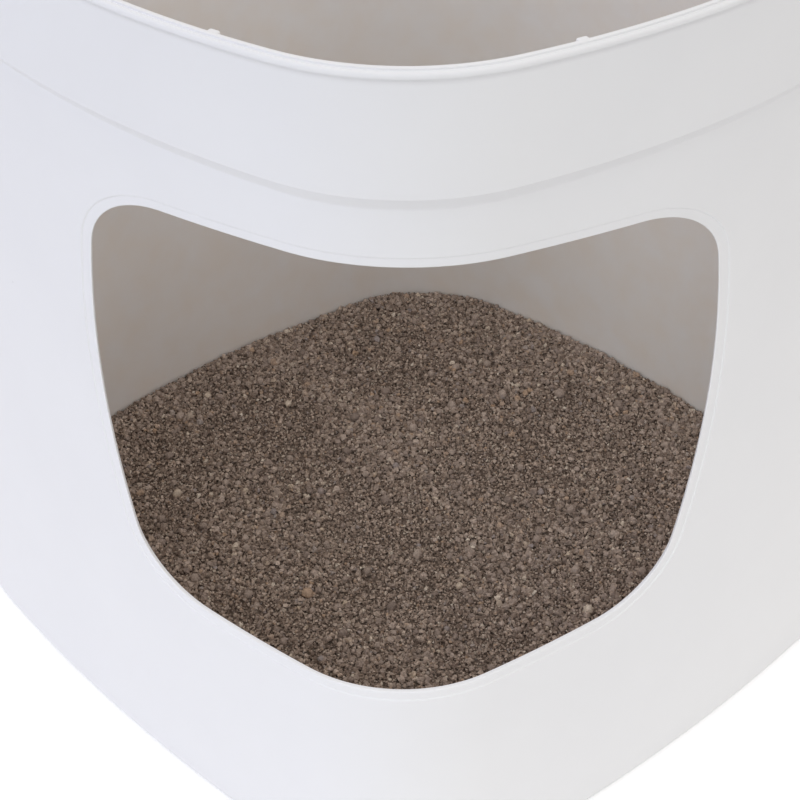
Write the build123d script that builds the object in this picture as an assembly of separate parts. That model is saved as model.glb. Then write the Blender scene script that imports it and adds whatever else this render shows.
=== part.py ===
from build123d import *
import math
import os

# Tub: one moulding, square with round corners and bowed sides, its entrance corner facing -Y
tub_height = 402.0
rim_width = 400.0
base_width = 344.9
rim_corner_radius = 92.9
base_corner_radius = 56.5
rim_side_radius = 377.4
base_side_radius = 943.8
wall_thickness = 2.8
floor_thickness = 3.0
base_edge_radius = 5.0
foot_land = 1.0

# Upper band: stands out over the lower wall on a sloped underside
band_height = 49.8
band_overhang = 5.6
underside_height = 8.0
cove_radius = 2.5
cove_steps = 4

# Rim: a round bead outside and a thin lip inside that locates a lid
bead_overhang = 1.0
bead_height = 3.0
bead_flat = 0.2
lip_height = 1.0
lip_thickness = 1.9
lip_round = 0.4

# Lid nubs: on the inner face of the lip, one each side of every corner
nub_width = 4.5
nub_depth = 2.4
nub_height = 3.0
nub_round = 0.9
nub_drop = 0.2
nub_from_corner = 61.5

# Entrance window: cut straight back along Y through the front corner
sill_height = 116.4
window_drop = 23.4
window_width = 243.0
widest_drop = 86.2
window_arch_radius = 725.0
window_side_radius = 432.0
shoulder_radius = 37.0
sill_radius = 32.0

# Border: a shallow recess round the window
border_width = 4.2
border_depth = 0.5

# Litter: a loose bed of clay granules that rises beside the walls and falls into the corners
litter_depth = 27.0
litter_swell = 2.0
litter_clearance = 0.3
litter_grid_steps = 12

# Coarse granules: the largest lumps of clay, lying loose on top of the bed
granule_count = 90
granule_width = 6.0
granule_foot_width = 4.1
granule_crown_width = 3.2
granule_height = 3.6
granule_waist_height = 1.6
granule_least_size = 0.56
granule_sides = 7
granule_clearance = 0.5
granule_wall_gap = 12.0

corners = 4
quarter_turn = 360 / corners
front_corner = -90.0
side_turns = [front_corner + quarter_turn * (corner - 0.5) for corner in range(corners)]
golden_angle = 180 * (3 - math.sqrt(5))
position_tolerance = 0.001

foot_height = base_edge_radius + foot_land
band_foot = tub_height - band_height
underside_foot = band_foot - underside_height
ledge_height = tub_height - lip_height
inner_band = band_overhang - wall_thickness
window_top = underside_foot - window_drop
widest_height = window_top - widest_drop
litter_top = floor_thickness + litter_depth


def between(base_value, rim_value, height):
    """Value at a height, on a straight line from the base to the rim."""
    return base_value + (rim_value - base_value) * height / tub_height


def half_width_at(height):
    """Half the lower wall's width across its sides, at a height."""
    return between(base_width / 2, rim_width / 2 - band_overhang, height)


def side_circle(height, offset):
    """Radius of a bowed side at a height, and its centre's distance from the tub's axis."""
    radius = 1 / between(1 / base_side_radius, 1 / rim_side_radius, height) + offset
    return radius, half_width_at(height) + offset - radius


def plan_at(height, offset=0.0):
    """Outline of the lower wall, or one parallel to it, at a height."""
    side_radius, side_centre = side_circle(height, offset)
    corner_radius = between(base_corner_radius, rim_corner_radius - band_overhang, height) + offset
    reach = side_radius - corner_radius
    corner_centre = (side_centre + math.sqrt(2 * reach**2 - side_centre**2)) / 2
    half_sweep = math.degrees(math.atan2(corner_centre, corner_centre - side_centre))
    side = CenterArc((side_centre, 0), side_radius, -half_sweep, 2 * half_sweep)
    bend = CenterArc((corner_centre, corner_centre), corner_radius, half_sweep, quarter_turn - 2 * half_sweep)
    arcs = []
    for turn in side_turns:
        arcs += [Rot(0, 0, turn) * side, Rot(0, 0, turn) * bend]
    return Pos(0, 0, height) * make_face(arcs)


def stack(levels):
    """Solid through outlines given as (height, offset), straight between one outline and the next."""
    return loft([plan_at(height, offset) for height, offset in levels], ruled=True)


def edges_at(solid, height):
    """Edges that lie flat at a height."""
    return solid.edges().filter_by_position(Axis.Z, height - position_tolerance, height + position_tolerance)


def tub_shell():
    """Floor, drafted lower wall and upper band, with a cove and a straight slope under the band."""
    foot = extrude(plan_at(foot_height), -foot_height)
    foot = fillet(edges_at(foot, 0), base_edge_radius)
    past_cove = band_overhang - cove_radius
    slope_length = math.hypot(underside_height, past_cove)
    slope_lean = math.atan2(past_cove, underside_height) + math.asin(cove_radius / slope_length)
    cove = []
    for step in range(cove_steps + 1):
        lean = slope_lean * step / cove_steps
        cove.append((underside_foot + cove_radius * math.sin(lean), cove_radius * (1 - math.cos(lean))))
    outside = stack([(foot_height, 0)] + cove + [(band_foot, band_overhang), (ledge_height, band_overhang)])
    lower_inside = [(floor_thickness, -wall_thickness), (underside_foot, -wall_thickness)]
    inside = stack(lower_inside + [(band_foot, inner_band), (ledge_height, inner_band)])
    return foot + outside - inside


def rim_bead():
    """Round bead, rooted in the middle of the band's wall."""
    bead = extrude(plan_at(ledge_height, band_overhang + bead_overhang), -bead_height)
    edges = edges_at(bead, ledge_height) + edges_at(bead, ledge_height - bead_height)
    bead = fillet(edges, (bead_height - bead_flat) / 2)
    return bead - extrude(plan_at(ledge_height, band_overhang - wall_thickness / 2), -bead_height)


def lid_lip():
    """Thin lip, flush with the inside of the band."""
    lip = extrude(plan_at(ledge_height, inner_band + lip_thickness), lip_height)
    lip -= extrude(plan_at(ledge_height, inner_band), lip_height)
    return fillet(edges_at(lip, tub_height), lip_round)


def lid_nubs():
    """Rounded nubs, rooted in the lip, beside every corner."""
    lip_radius, lip_centre = side_circle(ledge_height, inner_band)
    length = nub_depth + lip_thickness / 2
    nub = Box(length, nub_width, nub_height, align=(Align.MIN, Align.CENTER, Align.MAX))
    nub = fillet(nub.faces().sort_by(Axis.X)[0].edges(), nub_round)
    nub = Pos(lip_radius - nub_depth, 0, tub_height - nub_drop) * nub
    diagonal = math.sqrt(2)
    nub_angle = math.degrees(math.acos((nub_from_corner * diagonal - lip_centre) / (lip_radius * diagonal)))
    nub_angle -= quarter_turn / 2
    nubs = []
    for turn in side_turns:
        for angle in (-nub_angle, nub_angle):
            nubs.append(Rot(0, 0, turn) * Pos(lip_centre, 0, 0) * Rot(0, 0, angle) * nub)
    return nubs


def window_outline(margin=0.0):
    """Outline of the window, or one parallel to it, drawn as seen along Y."""
    inset = window_side_radius - window_width / 2
    side = Circle(window_side_radius + margin)
    outline = Pos(inset, widest_height) * side
    outline &= Pos(-inset, widest_height) * Rot(0, 0, 180) * side
    outline &= Pos(0, window_top - window_arch_radius) * Circle(window_arch_radius + margin)
    above_sill = Rectangle(2 * window_width, tub_height, align=(Align.CENTER, Align.MIN))
    outline &= Pos(0, sill_height - margin) * above_sill
    outline = fillet(outline.vertices().sort_by(Axis.Y)[:2], sill_radius + margin)
    return fillet(outline.vertices().sort_by(Axis.Y)[-2:], shoulder_radius + margin)


def front_prism(outline):
    """Bar of an outline's section, from the tub's axis out past its front corner."""
    return extrude(Plane.XZ * outline, rim_width)


def litter_height(x, y):
    """Height of the litter's top: up towards the middle of each side, down into each corner."""
    reference = half_width_at(litter_top)
    return litter_top - litter_swell * (x**4 - 6 * x**2 * y**2 + y**4) / reference**4


def litter_bed():
    """Litter that fills the tub up to its uneven top."""
    clear = -wall_thickness - litter_clearance
    bed = stack([(floor_thickness, clear), (underside_foot, clear)])
    grid = [rim_width * (2 * step / litter_grid_steps - 1) for step in range(litter_grid_steps + 1)]
    points = [[Vector(x, y, litter_height(x, y)) for y in grid] for x in grid]
    top = Face.make_surface_from_array_of_points(points)
    return bed & extrude(top, tub_height, dir=(0, 0, -1))


def coarse_granules():
    """Lumps of uneven size, spread over the litter in a spiral."""
    spread = half_width_at(litter_top) - wall_thickness - granule_wall_gap
    lumps = []
    for index in range(granule_count):
        turn = golden_angle * index
        size = granule_least_size + (1 - granule_least_size) * (1 + math.sin(index)) / 2
        foot = RegularPolygon(size * granule_foot_width / 2, granule_sides)
        waist = RegularPolygon(size * granule_width / 2, granule_sides)
        crown = RegularPolygon(size * granule_crown_width / 2, granule_sides)
        waist = Pos(0, 0, size * granule_waist_height) * waist
        crown = Pos(0, 0, size * granule_height) * crown
        lump = loft([foot, waist, crown], ruled=True)
        distance = spread * math.sqrt((index + 0.5) / granule_count)
        x = distance * math.cos(math.radians(turn))
        y = distance * math.sin(math.radians(turn))
        lumps.append(Pos(x, y, litter_height(x, y) + granule_clearance) * Rot(0, 0, turn) * lump)
    return lumps


tub = tub_shell() + rim_bead() + lid_lip()
for nub in lid_nubs():
    tub += nub
skin = stack([(foot_height, -border_depth), (underside_foot, -border_depth)])
tub -= front_prism(window_outline(border_width)) - skin
tub -= front_prism(window_outline())

os.makedirs("parts", exist_ok=True)
export_step(tub, "parts/tub.step")
export_step(litter_bed(), "parts/litter_bed.step")
export_step(Compound(children=coarse_granules()), "parts/coarse_granules.step")
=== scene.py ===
import math

import bmesh
import bpy
import numpy as np
from mathutils import Matrix, Vector


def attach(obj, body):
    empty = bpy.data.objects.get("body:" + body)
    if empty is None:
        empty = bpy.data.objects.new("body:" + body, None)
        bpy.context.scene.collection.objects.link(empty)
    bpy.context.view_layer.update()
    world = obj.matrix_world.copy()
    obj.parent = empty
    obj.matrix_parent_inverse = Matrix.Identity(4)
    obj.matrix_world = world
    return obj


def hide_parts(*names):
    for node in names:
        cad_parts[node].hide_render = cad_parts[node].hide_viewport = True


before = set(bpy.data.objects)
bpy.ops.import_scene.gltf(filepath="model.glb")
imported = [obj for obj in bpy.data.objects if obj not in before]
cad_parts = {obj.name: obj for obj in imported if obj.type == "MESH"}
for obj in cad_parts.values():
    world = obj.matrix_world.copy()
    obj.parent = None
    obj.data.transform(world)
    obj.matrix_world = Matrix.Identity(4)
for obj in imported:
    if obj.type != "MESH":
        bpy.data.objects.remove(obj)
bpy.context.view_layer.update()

# Tub: one white polypropylene injection moulding, a tall rounded square with bowed, drafted sides.
# An upper band stands out over the lower wall and ends in a round bead and a thin lip for a lid.
# The entrance window goes straight through the front corner, inside a shallow recessed border.
tub_height = 0.402
rim_half_width, base_half_width = 0.2, 0.17245
rim_corner_radius, base_corner_radius = 0.0929, 0.0565
rim_side_radius, base_side_radius = 0.3774, 0.9438
wall_thickness, floor_thickness = 0.0028, 0.003
base_edge_radius, foot_height = 0.005, 0.006
band_foot, band_overhang = 0.3522, 0.0056
underside_foot, cove_radius = 0.3442, 0.0025
band_edge_radius, inner_bend_radius = 0.0007, 0.003
ledge_height, bead_overhang, bead_height, bead_radius = 0.401, 0.001, 0.003, 0.0014
lip_thickness, lip_radius, ledge_fillet = 0.0019, 0.0004, 0.0002
window_top, window_half_width, widest_height = 0.3208, 0.1215, 0.2346
window_arch_radius, window_side_radius = 0.725, 0.432
shoulder_radius, sill_radius, sill_height = 0.037, 0.032, 0.1164
border_width, border_depth, border_step, window_edge_radius = 0.0042, 0.0005, 0.0004, 0.0007
patch_bottom, patch_top = 0.1, 0.338
side_columns, corner_columns, patch_columns, patch_rows = 64, 36, 124, 52


def tub_plan(height, offset):
    """Side radius, side centre, corner radius, corner centre and half sweep of the outline at a height."""
    share = height / tub_height
    side = 1 / (1 / base_side_radius + (1 / rim_side_radius - 1 / base_side_radius) * share) + offset
    half = base_half_width + (rim_half_width - band_overhang - base_half_width) * share + offset
    corner = base_corner_radius + (rim_corner_radius - band_overhang - base_corner_radius) * share + offset
    centre = half - side
    bend = (centre + np.sqrt(2 * (side - corner) ** 2 - centre**2)) / 2
    return side, centre, corner, bend, np.arctan2(bend, bend - centre)


def around_tub(column, height, offset):
    """x and y on the outline: columns run from the back corner's middle by the left, front and right."""
    side, centre, corner, bend, sweep = tub_plan(height, offset)
    place = column + corner_columns / 2 + side_columns
    quarter = side_columns + corner_columns
    turn = np.floor(place / quarter) * math.pi / 2 + math.pi / 4
    within = place % quarter
    on_side = within <= side_columns
    angle = np.where(
        on_side,
        sweep * (2 * within / side_columns - 1),
        sweep + (math.pi / 2 - 2 * sweep) * (within - side_columns) / corner_columns,
    )
    x = np.where(on_side, centre + side * np.cos(angle), bend + corner * np.cos(angle))
    y = np.where(on_side, side * np.sin(angle), bend + corner * np.sin(angle))
    return x * np.cos(turn) - y * np.sin(turn), x * np.sin(turn) + y * np.cos(turn)


def front_of_tub(x, height, offset):
    """y on the outline's front, at an x."""
    side, centre, corner, bend, sweep = tub_plan(height, offset)
    reach = np.abs(x)
    on_corner = bend * math.sqrt(2) + np.sqrt(np.maximum(corner**2 - reach**2, 0))
    middle = centre / math.sqrt(2)
    on_side = middle + np.sqrt(np.maximum(side**2 - (reach - middle) ** 2, 0))
    return -np.where(reach < corner * np.sin(math.pi / 4 - sweep), on_corner, on_side)


def arc(middle, radius, start, end, steps=24):
    """Points of an arc with their outward directions."""
    angles = np.linspace(start, end, steps)
    ways = np.c_[np.cos(angles), np.sin(angles)]
    return np.c_[np.array(middle) + radius * ways, ways]


def window_points():
    """Points of the window with their outward directions, spread in step with the patch's border."""
    side_middle = np.array([window_half_width - window_side_radius, widest_height])
    arch_middle = np.array([0, window_top - window_arch_radius])
    sill_reach = window_side_radius - sill_radius
    sill_rise = sill_height + sill_radius
    sill_out = math.sqrt(sill_reach**2 - (sill_rise - widest_height) ** 2)
    sill_middle = np.array([side_middle[0] + sill_out, sill_rise])
    side_reach, arch_reach = window_side_radius - shoulder_radius, window_arch_radius - shoulder_radius
    way = arch_middle - side_middle
    apart = np.linalg.norm(way)
    along = (side_reach**2 - arch_reach**2 + apart**2) / (2 * apart)
    across = math.sqrt(side_reach**2 - along**2)
    way /= apart
    shoulder_middle = side_middle + along * way + across * np.array([-way[1], way[0]])
    low = math.atan2(*(sill_middle - side_middle)[::-1])
    high = math.atan2(*(shoulder_middle - side_middle)[::-1])
    crown = math.atan2(*(shoulder_middle - arch_middle)[::-1])
    sill_turn, shoulder_turn = (low - math.pi / 2) / 2, (high + crown) / 2
    sill = np.linspace(0, sill_middle[0], 60)
    bottom = np.c_[sill, np.full(60, sill_height), np.zeros(60), np.full(60, -1.0)]
    bottom = np.r_[bottom, arc(sill_middle, sill_radius, -math.pi / 2, sill_turn)[1:]]
    flank = np.r_[
        arc(sill_middle, sill_radius, sill_turn, low),
        arc(side_middle, window_side_radius, low, high, 80)[1:],
        arc(shoulder_middle, shoulder_radius, high, shoulder_turn)[1:],
    ]
    top = np.r_[
        arc(shoulder_middle, shoulder_radius, shoulder_turn, crown),
        arc(arch_middle, window_arch_radius, crown, math.pi / 2, 80)[1:],
    ]
    runs = []
    for run, steps in ((bottom, patch_columns // 2), (flank, patch_rows), (top, patch_columns // 2)):
        turned = np.unwrap(np.arctan2(run[:, 3], run[:, 2]))
        weight = np.linalg.norm(np.diff(run[:, :2], axis=0), axis=1) + 0.02 * np.abs(np.diff(turned))
        weight = np.r_[0, np.cumsum(weight)]
        spots = np.linspace(0, weight[-1], steps + 1)
        spread = np.c_[np.interp(spots, weight, run[:, 0]), np.interp(spots, weight, run[:, 1])]
        turned = np.interp(spots, weight, turned)
        runs.append(np.c_[spread, np.cos(turned), np.sin(turned)][:-1])
    right = np.r_[runs[0], runs[1], runs[2], [[0, window_top, 0, 1]]]
    left = right[-2:0:-1] * np.array([-1, 1, -1, 1])
    return np.r_[right, left]


def bend_rows(before, corner, after, radius, steps=4):
    """Rows round a corner of the wall's section, given as (height, offset)."""
    before, corner, after = (np.array(point, float) for point in (before, corner, after))
    back = (before - corner) / np.linalg.norm(before - corner)
    on = (after - corner) / np.linalg.norm(after - corner)
    half = math.acos(np.clip(back @ on, -1, 1)) / 2
    middle = corner + (back + on) / np.linalg.norm(back + on) * radius / math.sin(half)
    start, end = corner + back * radius / math.tan(half), corner + on * radius / math.tan(half)
    rows = []
    for step in range(steps + 1):
        way = start + (end - start) * step / steps - middle
        rows.append(tuple(middle + way / np.linalg.norm(way) * radius))
    return rows


# The section is one line, from the middle of the underside up the outside, over the rim and down the inside.
# Each row is its height, its offset from the drafted wall and the share of the way out from the axis.
inner_band = band_overhang - wall_thickness
flat = -base_edge_radius
rows = [(0, flat, share) for share in (0, 0.4, 0.8, 0.98, 1)]
for step in range(1, 7):
    angle = step * math.pi / 12
    rows.append((base_edge_radius * (1 - math.cos(angle)), flat * (1 - math.sin(angle)), 1))
rows += [(height, 0, 1) for height in (0.0056, 0.0068, 0.009, 0.015, 0.03, 0.05, 0.075)]
outer_patch_row = len(rows)
patch_heights = np.linspace(patch_bottom, patch_top, patch_rows + 1)
rows += [(height, 0, 1) for height in patch_heights]
past_cove = band_overhang - cove_radius
slope_lean = math.atan2(past_cove, band_foot - underside_foot)
slope_lean += math.asin(cove_radius / math.hypot(past_cove, band_foot - underside_foot))
rows.append((underside_foot - 0.0025, 0, 1))
for step in range(6):
    angle = slope_lean * step / 5
    rows.append((underside_foot + cove_radius * math.sin(angle), cove_radius * (1 - math.cos(angle)), 1))
under, edge, over = rows[-1][:2], (band_foot, band_overhang), (band_foot + 0.01, band_overhang)
rows += [(*row, 1) for row in bend_rows(under, edge, over, band_edge_radius)]
bead_foot = ledge_height - bead_height
for share in (0.04, 0.15, 0.35, 0.6, 0.82, 0.95):
    rows.append((band_foot + (bead_foot - band_foot) * share, band_overhang, 1))
bead_middle = band_overhang + bead_overhang - bead_radius
first_angle = -math.acos((band_overhang - bead_middle) / bead_radius)
bead_halves = (bead_foot + bead_radius, first_angle, 0), (ledge_height - bead_radius, 0, math.pi / 2)
for rise, start, end in bead_halves:
    for angle in np.linspace(start, end, 7):
        rows.append((rise + bead_radius * math.sin(angle), bead_middle + bead_radius * math.cos(angle), 1))
lip_outside = inner_band + lip_thickness
section = [
    (ledge_height, bead_middle),
    (ledge_height, lip_outside),
    (tub_height, lip_outside),
    (tub_height, inner_band),
    (band_foot, inner_band),
    (underside_foot, -wall_thickness),
    (patch_top, -wall_thickness),
]
section_radii = ledge_fillet, lip_radius, lip_radius, inner_bend_radius, inner_bend_radius
for turn, radius in enumerate(section_radii, 1):
    if turn == 4:
        inner_row = len(rows)
        for share in (0.03, 0.1, 0.25, 0.5, 0.75, 0.93):
            rows.append((tub_height + (band_foot - tub_height) * share, inner_band, 1))
    rows += [(*row, 1) for row in bend_rows(section[turn - 1], section[turn], section[turn + 1], radius)]
inner_patch_row = len(rows)
rows += [(height, -wall_thickness, 1) for height in patch_heights[::-1]]
rows += [(height, -wall_thickness, 1) for height in (0.08, 0.06, 0.04, 0.02, 0.008)]
rows += [(floor_thickness, -wall_thickness, share) for share in (1, 0.97, 0.7, 0.35, 0)]
heights, offsets, shares = np.array(rows).T
columns = 4 * (side_columns + corner_columns)

# A flat grid stands for the unrolled section. The window's place is deleted from its outer and inner rows,
# and the outer hole's edge is extruded ring by ring through the wall, to be welded to the inner hole.
bpy.ops.object.select_all(action="DESELECT")
bpy.ops.mesh.primitive_grid_add(x_subdivisions=columns, y_subdivisions=len(rows) - 1, size=2)
tub = bpy.context.object
tub.name = "moulded_tub"
bpy.ops.object.mode_set(mode="EDIT")
mesh = bmesh.from_edit_mesh(tub.data)
column_of = mesh.verts.layers.int.new("column")
row_of = mesh.verts.layers.int.new("row")
mesh.verts.layers.int.new("ring")
first_column = columns // 2 - patch_columns // 2
last_column = first_column + patch_columns
for vertex in mesh.verts:
    vertex[column_of] = round((vertex.co.x + 1) / 2 * columns)
    vertex[row_of] = round((vertex.co.y + 1) / 2 * (len(rows) - 1))


def in_patch(face, first_row):
    """Whether a face of the grid lies in the window's patch of the rows from first_row."""
    return all(
        first_column <= vertex[column_of] <= last_column
        and first_row <= vertex[row_of] <= first_row + patch_rows
        for vertex in face.verts
    )


bpy.ops.mesh.select_mode(type="FACE")
bpy.ops.mesh.select_all(action="DESELECT")
for face in mesh.faces:
    face.select = in_patch(face, outer_patch_row) or in_patch(face, inner_patch_row)
mesh.select_flush_mode()
bmesh.update_edit_mesh(tub.data)
bpy.ops.mesh.delete(type="FACE")
bpy.ops.mesh.select_mode(type="EDGE")
mesh = bmesh.from_edit_mesh(tub.data)
column_of, row_of = (mesh.verts.layers.int[name] for name in ("column", "row"))
for edge in mesh.edges:
    edge.select = edge.is_boundary and all(
        first_column <= vertex[column_of] <= last_column
        and outer_patch_row <= vertex[row_of] <= outer_patch_row + patch_rows
        for vertex in edge.verts
    )
bmesh.update_edit_mesh(tub.data)

# Rings from the outer wall to the inner one: (share of the way to the patch's border, distance from the
# window's outline, offset from the wall, depth into the cut).
rings = []
ring_gap = 0.0006
border_outside, border_inside = border_width + border_step, border_width - border_step
for share in (0.8, 0.6, 0.42, 0.27, 0.15, 0.07, 0):
    rings.append((share, border_outside + ring_gap, 0, 0))
for share in (0, 0.25, 0.5, 0.75, 1):
    drop = border_depth * (0.5 - 0.5 * math.cos(math.pi * share))
    rings.append((0, border_outside - 2 * border_step * share, -drop, 0))
for distance in (border_inside - 0.0004, 0.0025, window_edge_radius + 0.0005):
    rings.append((0, distance, -border_depth, 0))
turns = [step * math.pi / 10 for step in range(6)]
for angle in turns:
    inset = window_edge_radius * (1 - math.sin(angle))
    rings.append((0, inset, -border_depth, window_edge_radius * (1 - math.cos(angle))))
for angle in turns[::-1]:
    inset = window_edge_radius * (1 - math.sin(angle))
    rings.append((0, inset, -wall_thickness, -window_edge_radius * (1 - math.cos(angle))))
last_cut_ring = len(rings)
for share in (0, 0.04, 0.12, 0.25, 0.42, 0.6, 0.8, 1):
    rings.append((share, window_edge_radius + ring_gap, -wall_thickness, 0))
for number in range(1, len(rings) + 1):
    bpy.ops.mesh.extrude_edges_move()
    mesh = bmesh.from_edit_mesh(tub.data)
    ring_of = mesh.verts.layers.int["ring"]
    for vertex in mesh.verts:
        if vertex.select:
            vertex[ring_of] = number
    bmesh.update_edit_mesh(tub.data)
bpy.ops.object.mode_set(mode="OBJECT")


def read_numbers(name):
    """One of the mesh's own numbers, for every vertex."""
    numbers = np.zeros(len(tub.data.vertices), np.int32)
    tub.data.attributes[name].data.foreach_get("value", numbers)
    return numbers


column, row, ring = read_numbers("column"), read_numbers("row"), read_numbers("ring")
height = heights[row]
shape_height = np.where((row < outer_patch_row) & (height < foot_height), foot_height, height)
x, y = around_tub(column % columns, shape_height, offsets[row])
place = np.c_[x * shares[row], y * shares[row], height]

# The spot of a patch's vertex, counted from the middle of the sill towards +X and round the window.
up = row - outer_patch_row
right = column - columns // 2
half = patch_columns // 2
spot = np.where(up == 0, right % (2 * (patch_columns + patch_rows)), 0)
spot = np.where((right == half) & (up > 0), half + up, spot)
spot = np.where((up == patch_rows) & (right < half), 2 * half + patch_rows - right, spot)
spot = np.where((right == -half) & (up < patch_rows) & (up > 0), 3 * half + 2 * patch_rows - up, spot)
window = window_points()
on_ring = ring > 0
share, distance, offset, depth = np.array([(0, 0, 0, 0)] + rings).T[:, ring]
near = window[spot % len(window)]
inner_x, _ = around_tub(column, height, offsets[row] - wall_thickness)
border_x = np.where(ring > last_cut_ring, inner_x, place[:, 0])
ring_x = (near[:, 0] + distance * near[:, 2]) * (1 - share) + border_x * share
ring_z = (near[:, 1] + distance * near[:, 3]) * (1 - share) + height * share
ring_y = front_of_tub(ring_x, ring_z, offset) + depth
place = np.where(on_ring[:, None], np.c_[ring_x, ring_y, ring_z], place)
tub.data.vertices.foreach_set("co", place.ravel())
# Painted shade: the inside walls get a warm, darker tint all over, standing for shade and bounce light, and
# a little more just over the litter, where it is partly clay dust.
inside = np.where(on_ring, ring > last_cut_ring, row >= inner_row)
near_litter = np.clip((0.05 - place[:, 2]) / 0.02, 0, 1)
shade_and_dust = tub.data.attributes.new("inner_shade_and_litter_dust", "FLOAT", "POINT")
shade_and_dust.data.foreach_set("value", np.where(inside, 0.4 + 0.1 * near_litter, 0).astype(np.float32))
for name in ("column", "row", "ring"):
    tub.data.attributes.remove(tub.data.attributes[name])
bpy.ops.object.mode_set(mode="EDIT")
bpy.ops.mesh.select_all(action="SELECT")
bpy.ops.mesh.remove_doubles(threshold=2e-6)
bpy.ops.mesh.normals_make_consistent(inside=False)
bpy.ops.object.mode_set(mode="OBJECT")
bpy.ops.object.shade_smooth()

# Lid nubs: small rounded bumps of the same moulding, on the lip's inner face, one each side of every corner.
# A lid snaps over them. They are one with the lip, so they are joined to the tub.
nub_width, nub_depth, nub_height = 0.0045, 0.0024, 0.003
nub_round, nub_drop, nub_from_corner = 0.0009, 0.0002, 0.0615
nub_length = nub_depth + lip_thickness / 2
lip_side, lip_centre, _, _, _ = tub_plan(ledge_height, inner_band)
nub_lean = (nub_from_corner * math.sqrt(2) - lip_centre) / (lip_side * math.sqrt(2))
nub_turn = math.acos(nub_lean) - math.pi / 4
bpy.ops.object.select_all(action="DESELECT")
bpy.ops.mesh.primitive_cube_add(size=1)
nub = bpy.context.object
nub.name = "lid_nub"
bpy.ops.transform.resize(value=(nub_length, nub_width, nub_height))
bpy.ops.object.transform_apply(scale=True)
rounding = nub.modifiers.new("moulded_round", "BEVEL")
rounding.width = nub_round
rounding.segments = 5
rounding.limit_method = "NONE"
bpy.ops.object.modifier_apply(modifier=rounding.name)
bpy.ops.object.shade_smooth()
nub_out, nub_rise = lip_side - nub_depth + nub_length / 2, tub_height - nub_drop - nub_height / 2
nub_place = Matrix.Translation((nub_out, 0, nub_rise))
to_side = Matrix.Translation((lip_centre, 0, 0))
nubs = []
for quarter in range(4):
    for turn in (-nub_turn, nub_turn):
        copy = nub.copy()
        copy.data = nub.data.copy()
        bpy.context.scene.collection.objects.link(copy)
        side_turn = Matrix.Rotation(math.pi / 4 + quarter * math.pi / 2, 4, "Z")
        copy.data.transform(side_turn @ to_side @ Matrix.Rotation(turn, 4, "Z") @ nub_place)
        nubs.append(copy)
bpy.data.meshes.remove(nub.data)
bpy.ops.object.select_all(action="DESELECT")
for copy in nubs:
    copy.select_set(True)
tub.select_set(True)
bpy.context.view_layer.objects.active = tub
bpy.ops.object.join()
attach(tub, "root")
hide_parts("tub")

# The plastic is white with a fine spark-eroded grain, a touch uneven in gloss, with a few specks of dust.
# The inside is painted warmer and a little darker all over, as painted shade and warm bounce light, and a
# little more just over the litter, where it is partly a thin film of clay dust and partly painted shade.
plastic = bpy.data.materials.new("white_satin_plastic")
plastic.use_nodes = True
nodes, links = plastic.node_tree.nodes, plastic.node_tree.links
shader = nodes["Principled BSDF"]
shader.inputs["Specular IOR Level"].default_value = 0.35
place_in_tub = nodes.new("ShaderNodeTexCoord")
grain = nodes.new("ShaderNodeTexNoise")
grain.inputs["Scale"].default_value = 2200
grain.inputs["Detail"].default_value = 2
links.new(place_in_tub.outputs["Object"], grain.inputs["Vector"])
grain_bump = nodes.new("ShaderNodeBump")
grain_bump.inputs["Strength"].default_value = 0.12
grain_bump.inputs["Distance"].default_value = 0.0001
links.new(grain.outputs["Fac"], grain_bump.inputs["Height"])
links.new(grain_bump.outputs["Normal"], shader.inputs["Normal"])
cloud = nodes.new("ShaderNodeTexNoise")
cloud.inputs["Scale"].default_value = 18
cloud.inputs["Detail"].default_value = 3
links.new(place_in_tub.outputs["Object"], cloud.inputs["Vector"])
gloss = nodes.new("ShaderNodeMapRange")
gloss.inputs["To Min"].default_value = 0.44
gloss.inputs["To Max"].default_value = 0.56
links.new(cloud.outputs["Fac"], gloss.inputs["Value"])
links.new(gloss.outputs["Result"], shader.inputs["Roughness"])
white = nodes.new("ShaderNodeValToRGB")
white.color_ramp.elements[0].position, white.color_ramp.elements[0].color = 0.3, (0.845, 0.845, 0.86, 1)
white.color_ramp.elements[1].position, white.color_ramp.elements[1].color = 0.7, (0.865, 0.865, 0.878, 1)
links.new(cloud.outputs["Fac"], white.inputs["Fac"])
dots = nodes.new("ShaderNodeTexVoronoi")
dots.inputs["Scale"].default_value = 42
links.new(place_in_tub.outputs["Object"], dots.inputs["Vector"])
dot_size = nodes.new("ShaderNodeMapRange")
dot_size.inputs["From Min"].default_value = 0.011
dot_size.inputs["From Max"].default_value = 0.02
dot_size.inputs["To Min"].default_value = 0.3
dot_size.inputs["To Max"].default_value = 0
links.new(dots.outputs["Distance"], dot_size.inputs["Value"])
specked = nodes.new("ShaderNodeMix")
specked.data_type = "RGBA"
specked.inputs["B"].default_value = (0.3, 0.27, 0.25, 1)
links.new(dot_size.outputs["Result"], specked.inputs["Factor"])
links.new(white.outputs["Color"], specked.inputs["A"])
# Painted shade and bounce light, partly clay dust just over the litter: the warm tint of the inside walls.
shade_and_dust = nodes.new("ShaderNodeAttribute")
shade_and_dust.attribute_name = "inner_shade_and_litter_dust"
shade_and_dust_cloud = nodes.new("ShaderNodeTexNoise")
shade_and_dust_cloud.inputs["Scale"].default_value = 60
shade_and_dust_cloud.inputs["Detail"].default_value = 4
links.new(place_in_tub.outputs["Object"], shade_and_dust_cloud.inputs["Vector"])
shade_and_dust_share = nodes.new("ShaderNodeMath")
shade_and_dust_share.operation = "MULTIPLY"
links.new(shade_and_dust.outputs["Fac"], shade_and_dust_share.inputs[0])
links.new(shade_and_dust_cloud.outputs["Fac"], shade_and_dust_share.inputs[1])
shaded_and_dusted = nodes.new("ShaderNodeMix")
shaded_and_dusted.data_type = "RGBA"
shaded_and_dusted.inputs["B"].default_value = (0.8, 0.63, 0.44, 1)
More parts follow.
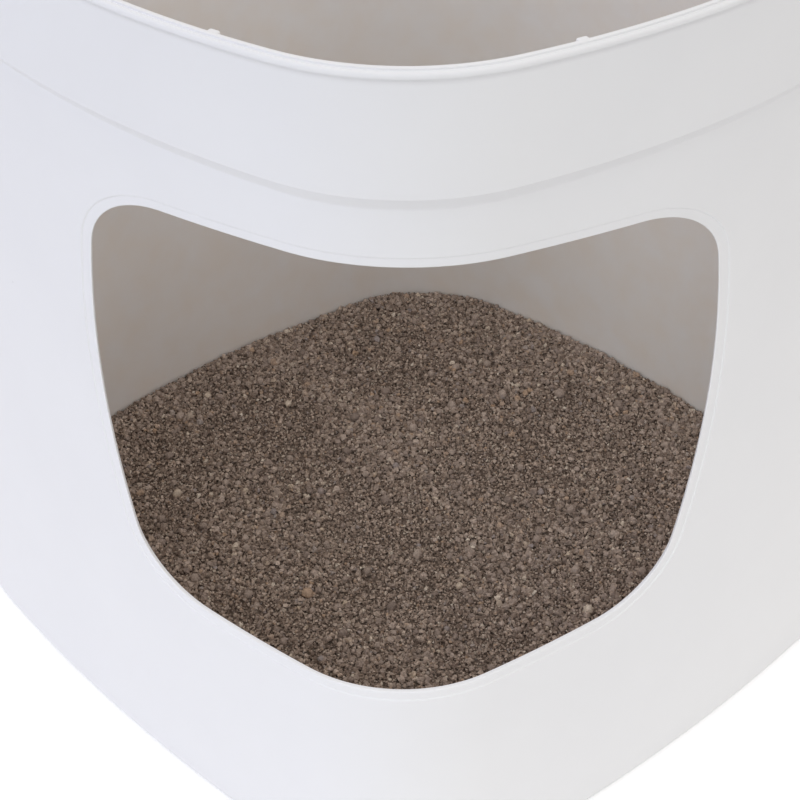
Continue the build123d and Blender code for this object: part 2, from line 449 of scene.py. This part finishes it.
links.new(shade_and_dust_share.outputs["Value"], shaded_and_dusted.inputs["Factor"])
links.new(specked.outputs["Result"], shaded_and_dusted.inputs["A"])
links.new(shaded_and_dusted.outputs["Result"], shader.inputs["Base Color"])
tub.data.materials.clear()
tub.data.materials.append(plastic)

# Litter bed: brown clay crumbs poured into the tub a finger's breadth deep and levelled roughly by hand.
# They bank up a little along the sides and fall away into the corners. Under the loose grains lies this bed,
# each crumb with a tone of its own but darker overall than the grains, as painted shade in the gaps between
# them.
litter_top, litter_swell, litter_clearance = 0.03, 0.002, 0.0003
bed_steps, bed_sink, crumb_roughness = 250, 0.0018, 0.0004
bed_edge = -wall_thickness - litter_clearance
bed_dice = np.random.default_rng(4)


def litter_height(x, y):
    """Height of the litter's top, with the low waves that a scoop leaves."""
    side, centre, _, _, _ = tub_plan(litter_top, 0)
    swell = litter_swell * (x**4 - 6 * x**2 * y**2 + y**4) / (side + centre) ** 4
    waves = np.sin(61 * x + 1.3) * np.sin(53 * y + 0.4) + 0.6 * np.sin(117 * x - 83 * y + 2)
    return litter_top - swell + 0.0005 * waves


def reach_of_litter(x, y, height=litter_top):
    """How far out the litter reaches from the tub's axis, in the direction of x and y."""
    edge_x, edge_y = around_tub(np.arange(0, columns, 0.25), height, bed_edge)
    edge_way, edge_reach = np.arctan2(edge_y, edge_x), np.hypot(edge_x, edge_y)
    return np.interp(np.arctan2(y, x), edge_way, edge_reach, period=2 * math.pi)


bpy.ops.object.select_all(action="DESELECT")
bpy.ops.mesh.primitive_grid_add(x_subdivisions=bed_steps, y_subdivisions=bed_steps, size=2)
bed = bpy.context.object
bed.name = "clay_bed"
bpy.ops.object.mode_set(mode="EDIT")
bpy.ops.mesh.select_mode(type="EDGE")
bpy.ops.mesh.select_all(action="SELECT")
bpy.ops.mesh.region_to_loop()
bpy.ops.mesh.extrude_edges_move(TRANSFORM_OT_translate={"value": (0, 0, -1)})
bpy.ops.mesh.edge_face_add()
bpy.ops.object.mode_set(mode="OBJECT")
spots = np.zeros(3 * len(bed.data.vertices))
bed.data.vertices.foreach_get("co", spots)
spots = spots.reshape(-1, 3)
across, along = (spots[:, 0] - spots[:, 1]) / math.sqrt(2), (spots[:, 0] + spots[:, 1]) / math.sqrt(2)
out = np.maximum(np.abs(spots[:, 0]), np.abs(spots[:, 1]))
at_foot = spots[:, 2] < -0.5
reach = np.where(at_foot, reach_of_litter(across, along, floor_thickness), reach_of_litter(across, along))
reach *= out / np.maximum(np.hypot(across, along), 1e-9)
bed_x, bed_y = across * reach, along * reach
bed_z = litter_height(bed_x, bed_y) - bed_sink + bed_dice.normal(0, crumb_roughness, len(spots))
bed_z = np.where(at_foot, floor_thickness + 0.0001, bed_z)
bed.data.vertices.foreach_set("co", np.c_[bed_x, bed_y, bed_z].ravel())
bpy.ops.object.mode_set(mode="EDIT")
bpy.ops.mesh.select_all(action="SELECT")
bpy.ops.mesh.normals_make_consistent(inside=False)
bpy.ops.object.mode_set(mode="OBJECT")
bpy.ops.object.shade_smooth()
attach(bed, "root")
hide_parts("litter_bed")

crumb_and_gap_shade = bpy.data.materials.new("clay_crumb_with_gap_shade")
crumb_and_gap_shade.use_nodes = True
nodes, links = crumb_and_gap_shade.node_tree.nodes, crumb_and_gap_shade.node_tree.links
shader = nodes["Principled BSDF"]
shader.inputs["Roughness"].default_value = 0.95
shader.inputs["Specular IOR Level"].default_value = 0.15
place_in_bed = nodes.new("ShaderNodeTexCoord")
cells = nodes.new("ShaderNodeTexVoronoi")
cells.inputs["Scale"].default_value = 1000
links.new(place_in_bed.outputs["Object"], cells.inputs["Vector"])
cell_shade = nodes.new("ShaderNodeSeparateColor")
links.new(cells.outputs["Color"], cell_shade.inputs["Color"])
# Painted shade: the crumb colours run darker than the loose grains, so that the bed shows as shaded gaps
# between them; the tone of each cell differs at random.
crumb_colours_and_gap_shade = nodes.new("ShaderNodeValToRGB")
ramp = crumb_colours_and_gap_shade.color_ramp
ramp.elements[0].position, ramp.elements[0].color = 0, (0.125, 0.092, 0.074, 1)
ramp.elements[1].position, ramp.elements[1].color = 1, (0.36, 0.3, 0.25, 1)
ramp.elements.new(0.85).color = (0.26, 0.197, 0.158, 1)
links.new(cell_shade.outputs["Red"], crumb_colours_and_gap_shade.inputs["Fac"])
links.new(crumb_colours_and_gap_shade.outputs["Color"], shader.inputs["Base Color"])
crumb_bump = nodes.new("ShaderNodeBump")
crumb_bump.inputs["Strength"].default_value = 1
crumb_bump.inputs["Distance"].default_value = 0.0005
crumb_bump.invert = True
links.new(cells.outputs["Distance"], crumb_bump.inputs["Height"])
links.new(crumb_bump.outputs["Normal"], shader.inputs["Normal"])
bed.data.materials.append(crumb_and_gap_shade)

# Loose clay grains: the top of the litter, dried clay crushed and sieved to about one to three millimetres.
# Each is a broken lump of its own colour, mostly grey brown, a few tan, rusty, slate or chalky, as it fell.
grain_dice = np.random.default_rng(11)
grain_sink = 0.0011


def broken_lumps(count, roughness, seed, ball):
    """Points of several broken lumps, about two across, and the triangle corners that they share."""
    shapes = []
    for number in range(count):
        bpy.ops.object.select_all(action="DESELECT")
        ball()
        lump = bpy.context.object
        bpy.ops.object.mode_set(mode="EDIT")
        bpy.ops.mesh.quads_convert_to_tris()
        bpy.ops.transform.vertex_random(offset=roughness, uniform=0.4, normal=0.6, seed=seed + number)
        bpy.ops.object.mode_set(mode="OBJECT")
        points = np.zeros(3 * len(lump.data.vertices))
        lump.data.vertices.foreach_get("co", points)
        corners = np.zeros(3 * len(lump.data.polygons), np.int32)
        lump.data.loops.foreach_get("vertex_index", corners)
        shapes.append(points.reshape(-1, 3))
        bpy.data.meshes.remove(lump.data)
    return np.array(shapes), corners


def strewn(count, size_low, size_high, coarse):
    """x, y and size of grains strewn in the tub; coarse ones gather in patches and along the walls."""
    x, y = grain_dice.uniform(-0.215, 0.215, (2, 12 * count))
    size = size_low + (size_high - size_low) * grain_dice.power(0.6, 12 * count)
    out = np.hypot(x, y) / (reach_of_litter(x, y) - size * 0.6)
    patches = 0.45 + 0.7 * np.sin(38 * x + 2.1) * np.sin(34 * y - 0.7) + 0.3 * np.sin(71 * x + 47 * y)
    patches = np.clip(patches, 0, 1) + 0.9 * np.clip((out - 0.72) / 0.28, 0, 1)
    kept = (out < 1) & (grain_dice.uniform(0, 1, 12 * count) < 1 - coarse + coarse * patches / 1.9)
    kept = np.flatnonzero(kept)[:count]
    return x[kept], y[kept], size[kept]


def strew(name, shapes, corners, x, y, z, size, material):
    """One piece of many grains, each a turned and squashed copy of a shape, with a colour of its own."""
    count, points = len(x), shapes.shape[1]
    turn = grain_dice.normal(size=(count, 4))
    turn /= np.linalg.norm(turn, axis=1)[:, None]
    w, i, j, k = turn.T
    turned = np.array(
        [
            [1 - 2 * (j * j + k * k), 2 * (i * j - k * w), 2 * (i * k + j * w)],
            [2 * (i * j + k * w), 1 - 2 * (i * i + k * k), 2 * (j * k - i * w)],
            [2 * (i * k - j * w), 2 * (j * k + i * w), 1 - 2 * (i * i + j * j)],
        ]
    ).transpose(2, 0, 1)
    kind = grain_dice.integers(len(shapes), size=count)
    squash = grain_dice.uniform(0.74, 1.12, (count, 1, 3)) * size[:, None, None] / 2
    spots = np.einsum("nab,npb->npa", turned, shapes[kind] * squash) + np.c_[x, y, z][:, None, :]
    mesh = bpy.data.meshes.new(name)
    mesh.vertices.add(count * points)
    mesh.vertices.foreach_set("co", spots.ravel())
    loops = (corners[None, :] + points * np.arange(count)[:, None]).ravel().astype(np.int32)
    mesh.loops.add(len(loops))
    mesh.loops.foreach_set("vertex_index", loops)
    mesh.polygons.add(len(loops) // 3)
    mesh.polygons.foreach_set("loop_start", np.arange(0, len(loops), 3, dtype=np.int32))
    mesh.polygons.foreach_set("use_smooth", np.zeros(len(loops) // 3, bool))
    tints = mesh.attributes.new("tint", "FLOAT", "POINT")
    tints.data.foreach_set("value", np.repeat(grain_dice.uniform(0, 1, count), points).astype(np.float32))
    cells = math.ceil(math.sqrt(count))
    cell = np.c_[np.arange(count) % cells, np.arange(count) // cells][:, None, :] + 0.5
    swatch = (cell + 0.35 * shapes[kind][:, :, :2].clip(-1, 1)) / cells
    bake_map = mesh.uv_layers.new(name="OFBake")
    bake_map.data.foreach_set("uv", swatch.reshape(-1, 2)[loops].astype(np.float32).ravel())
    mesh.update(calc_edges=True)
    piece = bpy.data.objects.new(name, mesh)
    bpy.context.scene.collection.objects.link(piece)
    mesh.materials.append(material)
    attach(piece, "root")
    return piece


def clay_colours(name, browns, odd):
    """Dry clay: each grain's own colour, mottled, dull and finely pitted."""
    clay = bpy.data.materials.new(name)
    clay.use_nodes = True
    nodes, links = clay.node_tree.nodes, clay.node_tree.links
    shader = nodes["Principled BSDF"]
    shader.inputs["Roughness"].default_value = 0.93
    shader.inputs["Specular IOR Level"].default_value = 0.18
    tint = nodes.new("ShaderNodeAttribute")
    tint.attribute_name = "tint"
    colours = nodes.new("ShaderNodeValToRGB")
    ramp = colours.color_ramp
    ramp.elements[0].position, ramp.elements[0].color = 0, browns[0]
    ramp.elements[1].position, ramp.elements[1].color = 1, odd[-1]
    for position, colour in zip((0.5, 0.88), browns[1:]):
        ramp.elements.new(position).color = colour
    for position, colour in zip((0.915, 0.94, 0.97), odd):
        ramp.elements.new(position).color = colour
    links.new(tint.outputs["Fac"], colours.inputs["Fac"])
    place = nodes.new("ShaderNodeTexCoord")
    mottle = nodes.new("ShaderNodeTexNoise")
    mottle.inputs["Scale"].default_value = 900
    mottle.inputs["Detail"].default_value = 3
    links.new(place.outputs["Object"], mottle.inputs["Vector"])
    shade = nodes.new("ShaderNodeMapRange")
    shade.inputs["From Min"].default_value = 0.3
    shade.inputs["From Max"].default_value = 0.7
    shade.inputs["To Min"].default_value = 0.78
    shade.inputs["To Max"].default_value = 1.16
    links.new(mottle.outputs["Fac"], shade.inputs["Value"])
    mottled = nodes.new("ShaderNodeVectorMath")
    mottled.operation = "SCALE"
    links.new(colours.outputs["Color"], mottled.inputs["Vector"])
    links.new(shade.outputs["Result"], mottled.inputs["Scale"])
    links.new(mottled.outputs["Vector"], shader.inputs["Base Color"])
    pits = nodes.new("ShaderNodeBump")
    pits.inputs["Strength"].default_value = 0.7
    pits.inputs["Distance"].default_value = 0.0004
    links.new(mottle.outputs["Fac"], pits.inputs["Height"])
    links.new(pits.outputs["Normal"], shader.inputs["Normal"])
    return clay


grain_browns = [(0.225, 0.168, 0.135, 1), (0.41, 0.32, 0.263, 1), (0.6, 0.485, 0.405, 1)]
grain_odd = [(0.48, 0.335, 0.235, 1), (0.36, 0.31, 0.3, 1), (0.58, 0.48, 0.39, 1), (0.76, 0.67, 0.57, 1)]
grain_clay = clay_colours("clay_grain", grain_browns, grain_odd)
fine_shapes, fine_corners = broken_lumps(
    16, 0.45, 20, lambda: bpy.ops.mesh.primitive_cylinder_add(vertices=3, radius=1.1, depth=1.5)
)
for part in range(4):
    x, y, size = strewn(24000, 0.0008, 0.0016, 0.1)
    z = litter_height(x, y) - grain_sink + size * grain_dice.uniform(0.05, 0.6, len(x))
    name = f"fine_grains_{part + 1}"
    strew(name, fine_shapes, fine_corners, x, y, z, size, grain_clay)
middle_shapes, middle_corners = broken_lumps(
    16, 0.5, 40, lambda: bpy.ops.mesh.primitive_ico_sphere_add(subdivisions=1, radius=1)
)
for part in range(2):
    x, y, size = strewn(9500, 0.0014, 0.0026, 0.86)
    z = litter_height(x, y) - grain_sink + size * grain_dice.uniform(0.1, 0.6, len(x))
    name = f"middle_grains_{part + 1}"
    strew(name, middle_shapes, middle_corners, x, y, z, size, grain_clay)

# Coarse clay lumps: the largest broken pieces, which come to the top and lie loose, most along the walls.
# They are the same dried clay, greyer on their broken faces.
lump_browns = [(0.29, 0.228, 0.194, 1), (0.41, 0.326, 0.278, 1), (0.54, 0.438, 0.374, 1)]
lump_odd = [(0.5, 0.35, 0.245, 1), (0.36, 0.312, 0.305, 1), (0.6, 0.48, 0.37, 1), (0.72, 0.62, 0.52, 1)]
lump_clay = clay_colours("clay_lump", lump_browns, lump_odd)
lump_shapes, lump_corners = broken_lumps(
    16, 0.3, 70, lambda: bpy.ops.mesh.primitive_uv_sphere_add(segments=6, ring_count=5, radius=1)
)
x, y, size = strewn(3800, 0.0022, 0.0038, 0.97)
z = litter_height(x, y) - grain_sink + size * grain_dice.uniform(0.1, 0.45, len(x))
strew("loose_lumps", lump_shapes, lump_corners, x, y, z, size, lump_clay)

# The biggest lumps lie in the places that the solids give them, a little smaller than those.
big_count, big_low, big_high, big_wall_gap = 90, 0.003, 0.005, 0.012
number = np.arange(big_count)
big_turn = math.pi * (3 - math.sqrt(5)) * number
big_size = big_low + (big_high - big_low) * (1 + np.sin(number)) / 2
litter_side, litter_centre, _, _, _ = tub_plan(litter_top, -wall_thickness - big_wall_gap)
big_reach = (litter_side + litter_centre) * np.sqrt((number + 0.5) / big_count)
x, y = big_reach * np.cos(big_turn), big_reach * np.sin(big_turn)
big_shapes, big_corners = broken_lumps(
    12, 0.16, 100, lambda: bpy.ops.mesh.primitive_ico_sphere_add(subdivisions=3, radius=1)
)
z = litter_height(x, y) + big_size * 0.15
big = strew("coarse_lumps", big_shapes, big_corners, x, y, z, big_size, lump_clay)
big.data.shade_smooth()
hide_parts("coarse_granules")

# Studio: a white paper floor and a white room, so that the box stands in even, shadowless light.
# To the camera the paper is plain white, with a faint shadow left round the base.
floor_height = -0.0002


def seen_directly(nodes, links):
    """Socket that is 1 where a thing is seen itself, in a mirror or through glass, and otherwise 0."""
    seen = nodes.new("ShaderNodeLightPath")
    direct = nodes.new("ShaderNodeMath")
    direct.operation = "MAXIMUM"
    links.new(seen.outputs["Is Camera Ray"], direct.inputs[0])
    links.new(seen.outputs["Is Glossy Ray"], direct.inputs[1])
    straight = nodes.new("ShaderNodeMath")
    straight.operation = "MAXIMUM"
    links.new(direct.outputs["Value"], straight.inputs[0])
    links.new(seen.outputs["Is Transmission Ray"], straight.inputs[1])
    return straight.outputs["Value"]


bpy.ops.object.select_all(action="DESELECT")
bpy.ops.mesh.primitive_plane_add(size=2.2, location=(0, 0, floor_height))
floor = bpy.context.object
floor.name = "studio_floor"
paper = bpy.data.materials.new("floor_paper")
paper.use_nodes = True
nodes, links = paper.node_tree.nodes, paper.node_tree.links
shader = nodes["Principled BSDF"]
shader.inputs["Base Color"].default_value = (0.9, 0.9, 0.9, 1)
shader.inputs["Roughness"].default_value = 0.9
shader.inputs["Emission Color"].default_value = (1, 1, 1, 1)
brighter = nodes.new("ShaderNodeMath")
brighter.operation = "MULTIPLY"
brighter.inputs[1].default_value = 0.3
links.new(seen_directly(nodes, links), brighter.inputs[0])
links.new(brighter.outputs["Value"], shader.inputs["Emission Strength"])
floor.data.materials.append(paper)

world = bpy.data.worlds.new("studio")
bpy.context.scene.world = world
world.use_nodes = True
nodes, links = world.node_tree.nodes, world.node_tree.links
room = nodes["Background"]
straight = seen_directly(nodes, links)
way_out = nodes.new("ShaderNodeTexCoord")
rise = nodes.new("ShaderNodeSeparateXYZ")
links.new(way_out.outputs["Generated"], rise.inputs["Vector"])
overhead = nodes.new("ShaderNodeMapRange")
overhead.inputs["From Min"].default_value = -0.02
overhead.inputs["From Max"].default_value = 0.02
overhead.inputs["To Max"].default_value = 0.79
links.new(rise.outputs["Z"], overhead.inputs["Value"])
level = nodes.new("ShaderNodeMapRange")
level.inputs["To Max"].default_value = 1
links.new(overhead.outputs["Result"], level.inputs["To Min"])
links.new(straight, level.inputs["Value"])
links.new(level.outputs["Result"], room.inputs["Strength"])
room_colour = nodes.new("ShaderNodeMix")
room_colour.data_type = "RGBA"
room_colour.inputs["A"].default_value = (1, 0.965, 0.925, 1)
room_colour.inputs["B"].default_value = (1, 1, 1, 1)
links.new(straight, room_colour.inputs["Factor"])
links.new(room_colour.outputs["Result"], room.inputs["Color"])


def soft_box(name, place, aim, width, height, power, colour):
    """A large flat lamp behind white cloth, turned to a point."""
    lamp_data = bpy.data.lights.new(name, "AREA")
    lamp_data.shape = "RECTANGLE"
    lamp_data.size, lamp_data.size_y = width, height
    lamp_data.energy = power
    lamp_data.color = colour
    lamp = bpy.data.objects.new(name, lamp_data)
    bpy.context.scene.collection.objects.link(lamp)
    lamp.location = place
    lamp.visible_camera = False
    lamp.rotation_euler = (Vector(aim) - Vector(place)).to_track_quat("-Z", "Y").to_euler()


soft_box("key_soft_box", (-0.6, -1.9, 1.25), (0, 0, 0.2), 1.5, 1.5, 10.9, (0.84, 0.92, 1))
soft_box("right_soft_box", (1.5, -0.4, 1.3), (0, 0, 0.1), 1.2, 1.2, 3, (0.96, 0.98, 1))
soft_box("left_soft_box", (-1.5, -0.6, 1), (0, 0, 0.2), 1.2, 1.2, 3.8, (0.4, 0.5, 1))

camera_data = bpy.data.cameras.new("camera")
camera_data.sensor_width = 36
camera_data.lens = 104.19
camera = bpy.data.objects.new("camera", camera_data)
bpy.context.scene.collection.objects.link(camera)
forward = Vector((-0.03276, 0.80122, -0.59748)).normalized()
right_way = Vector((0.99915, 0.04124, 0.00052)).normalized()
up_way = right_way.cross(forward)
facing = Matrix((right_way, up_way, -forward)).transposed().to_4x4()
camera.matrix_world = Matrix.Translation((0.02877, -0.88162, 0.7609)) @ facing
bpy.context.scene.camera = camera

bpy.context.scene.view_settings.view_transform = "Standard"
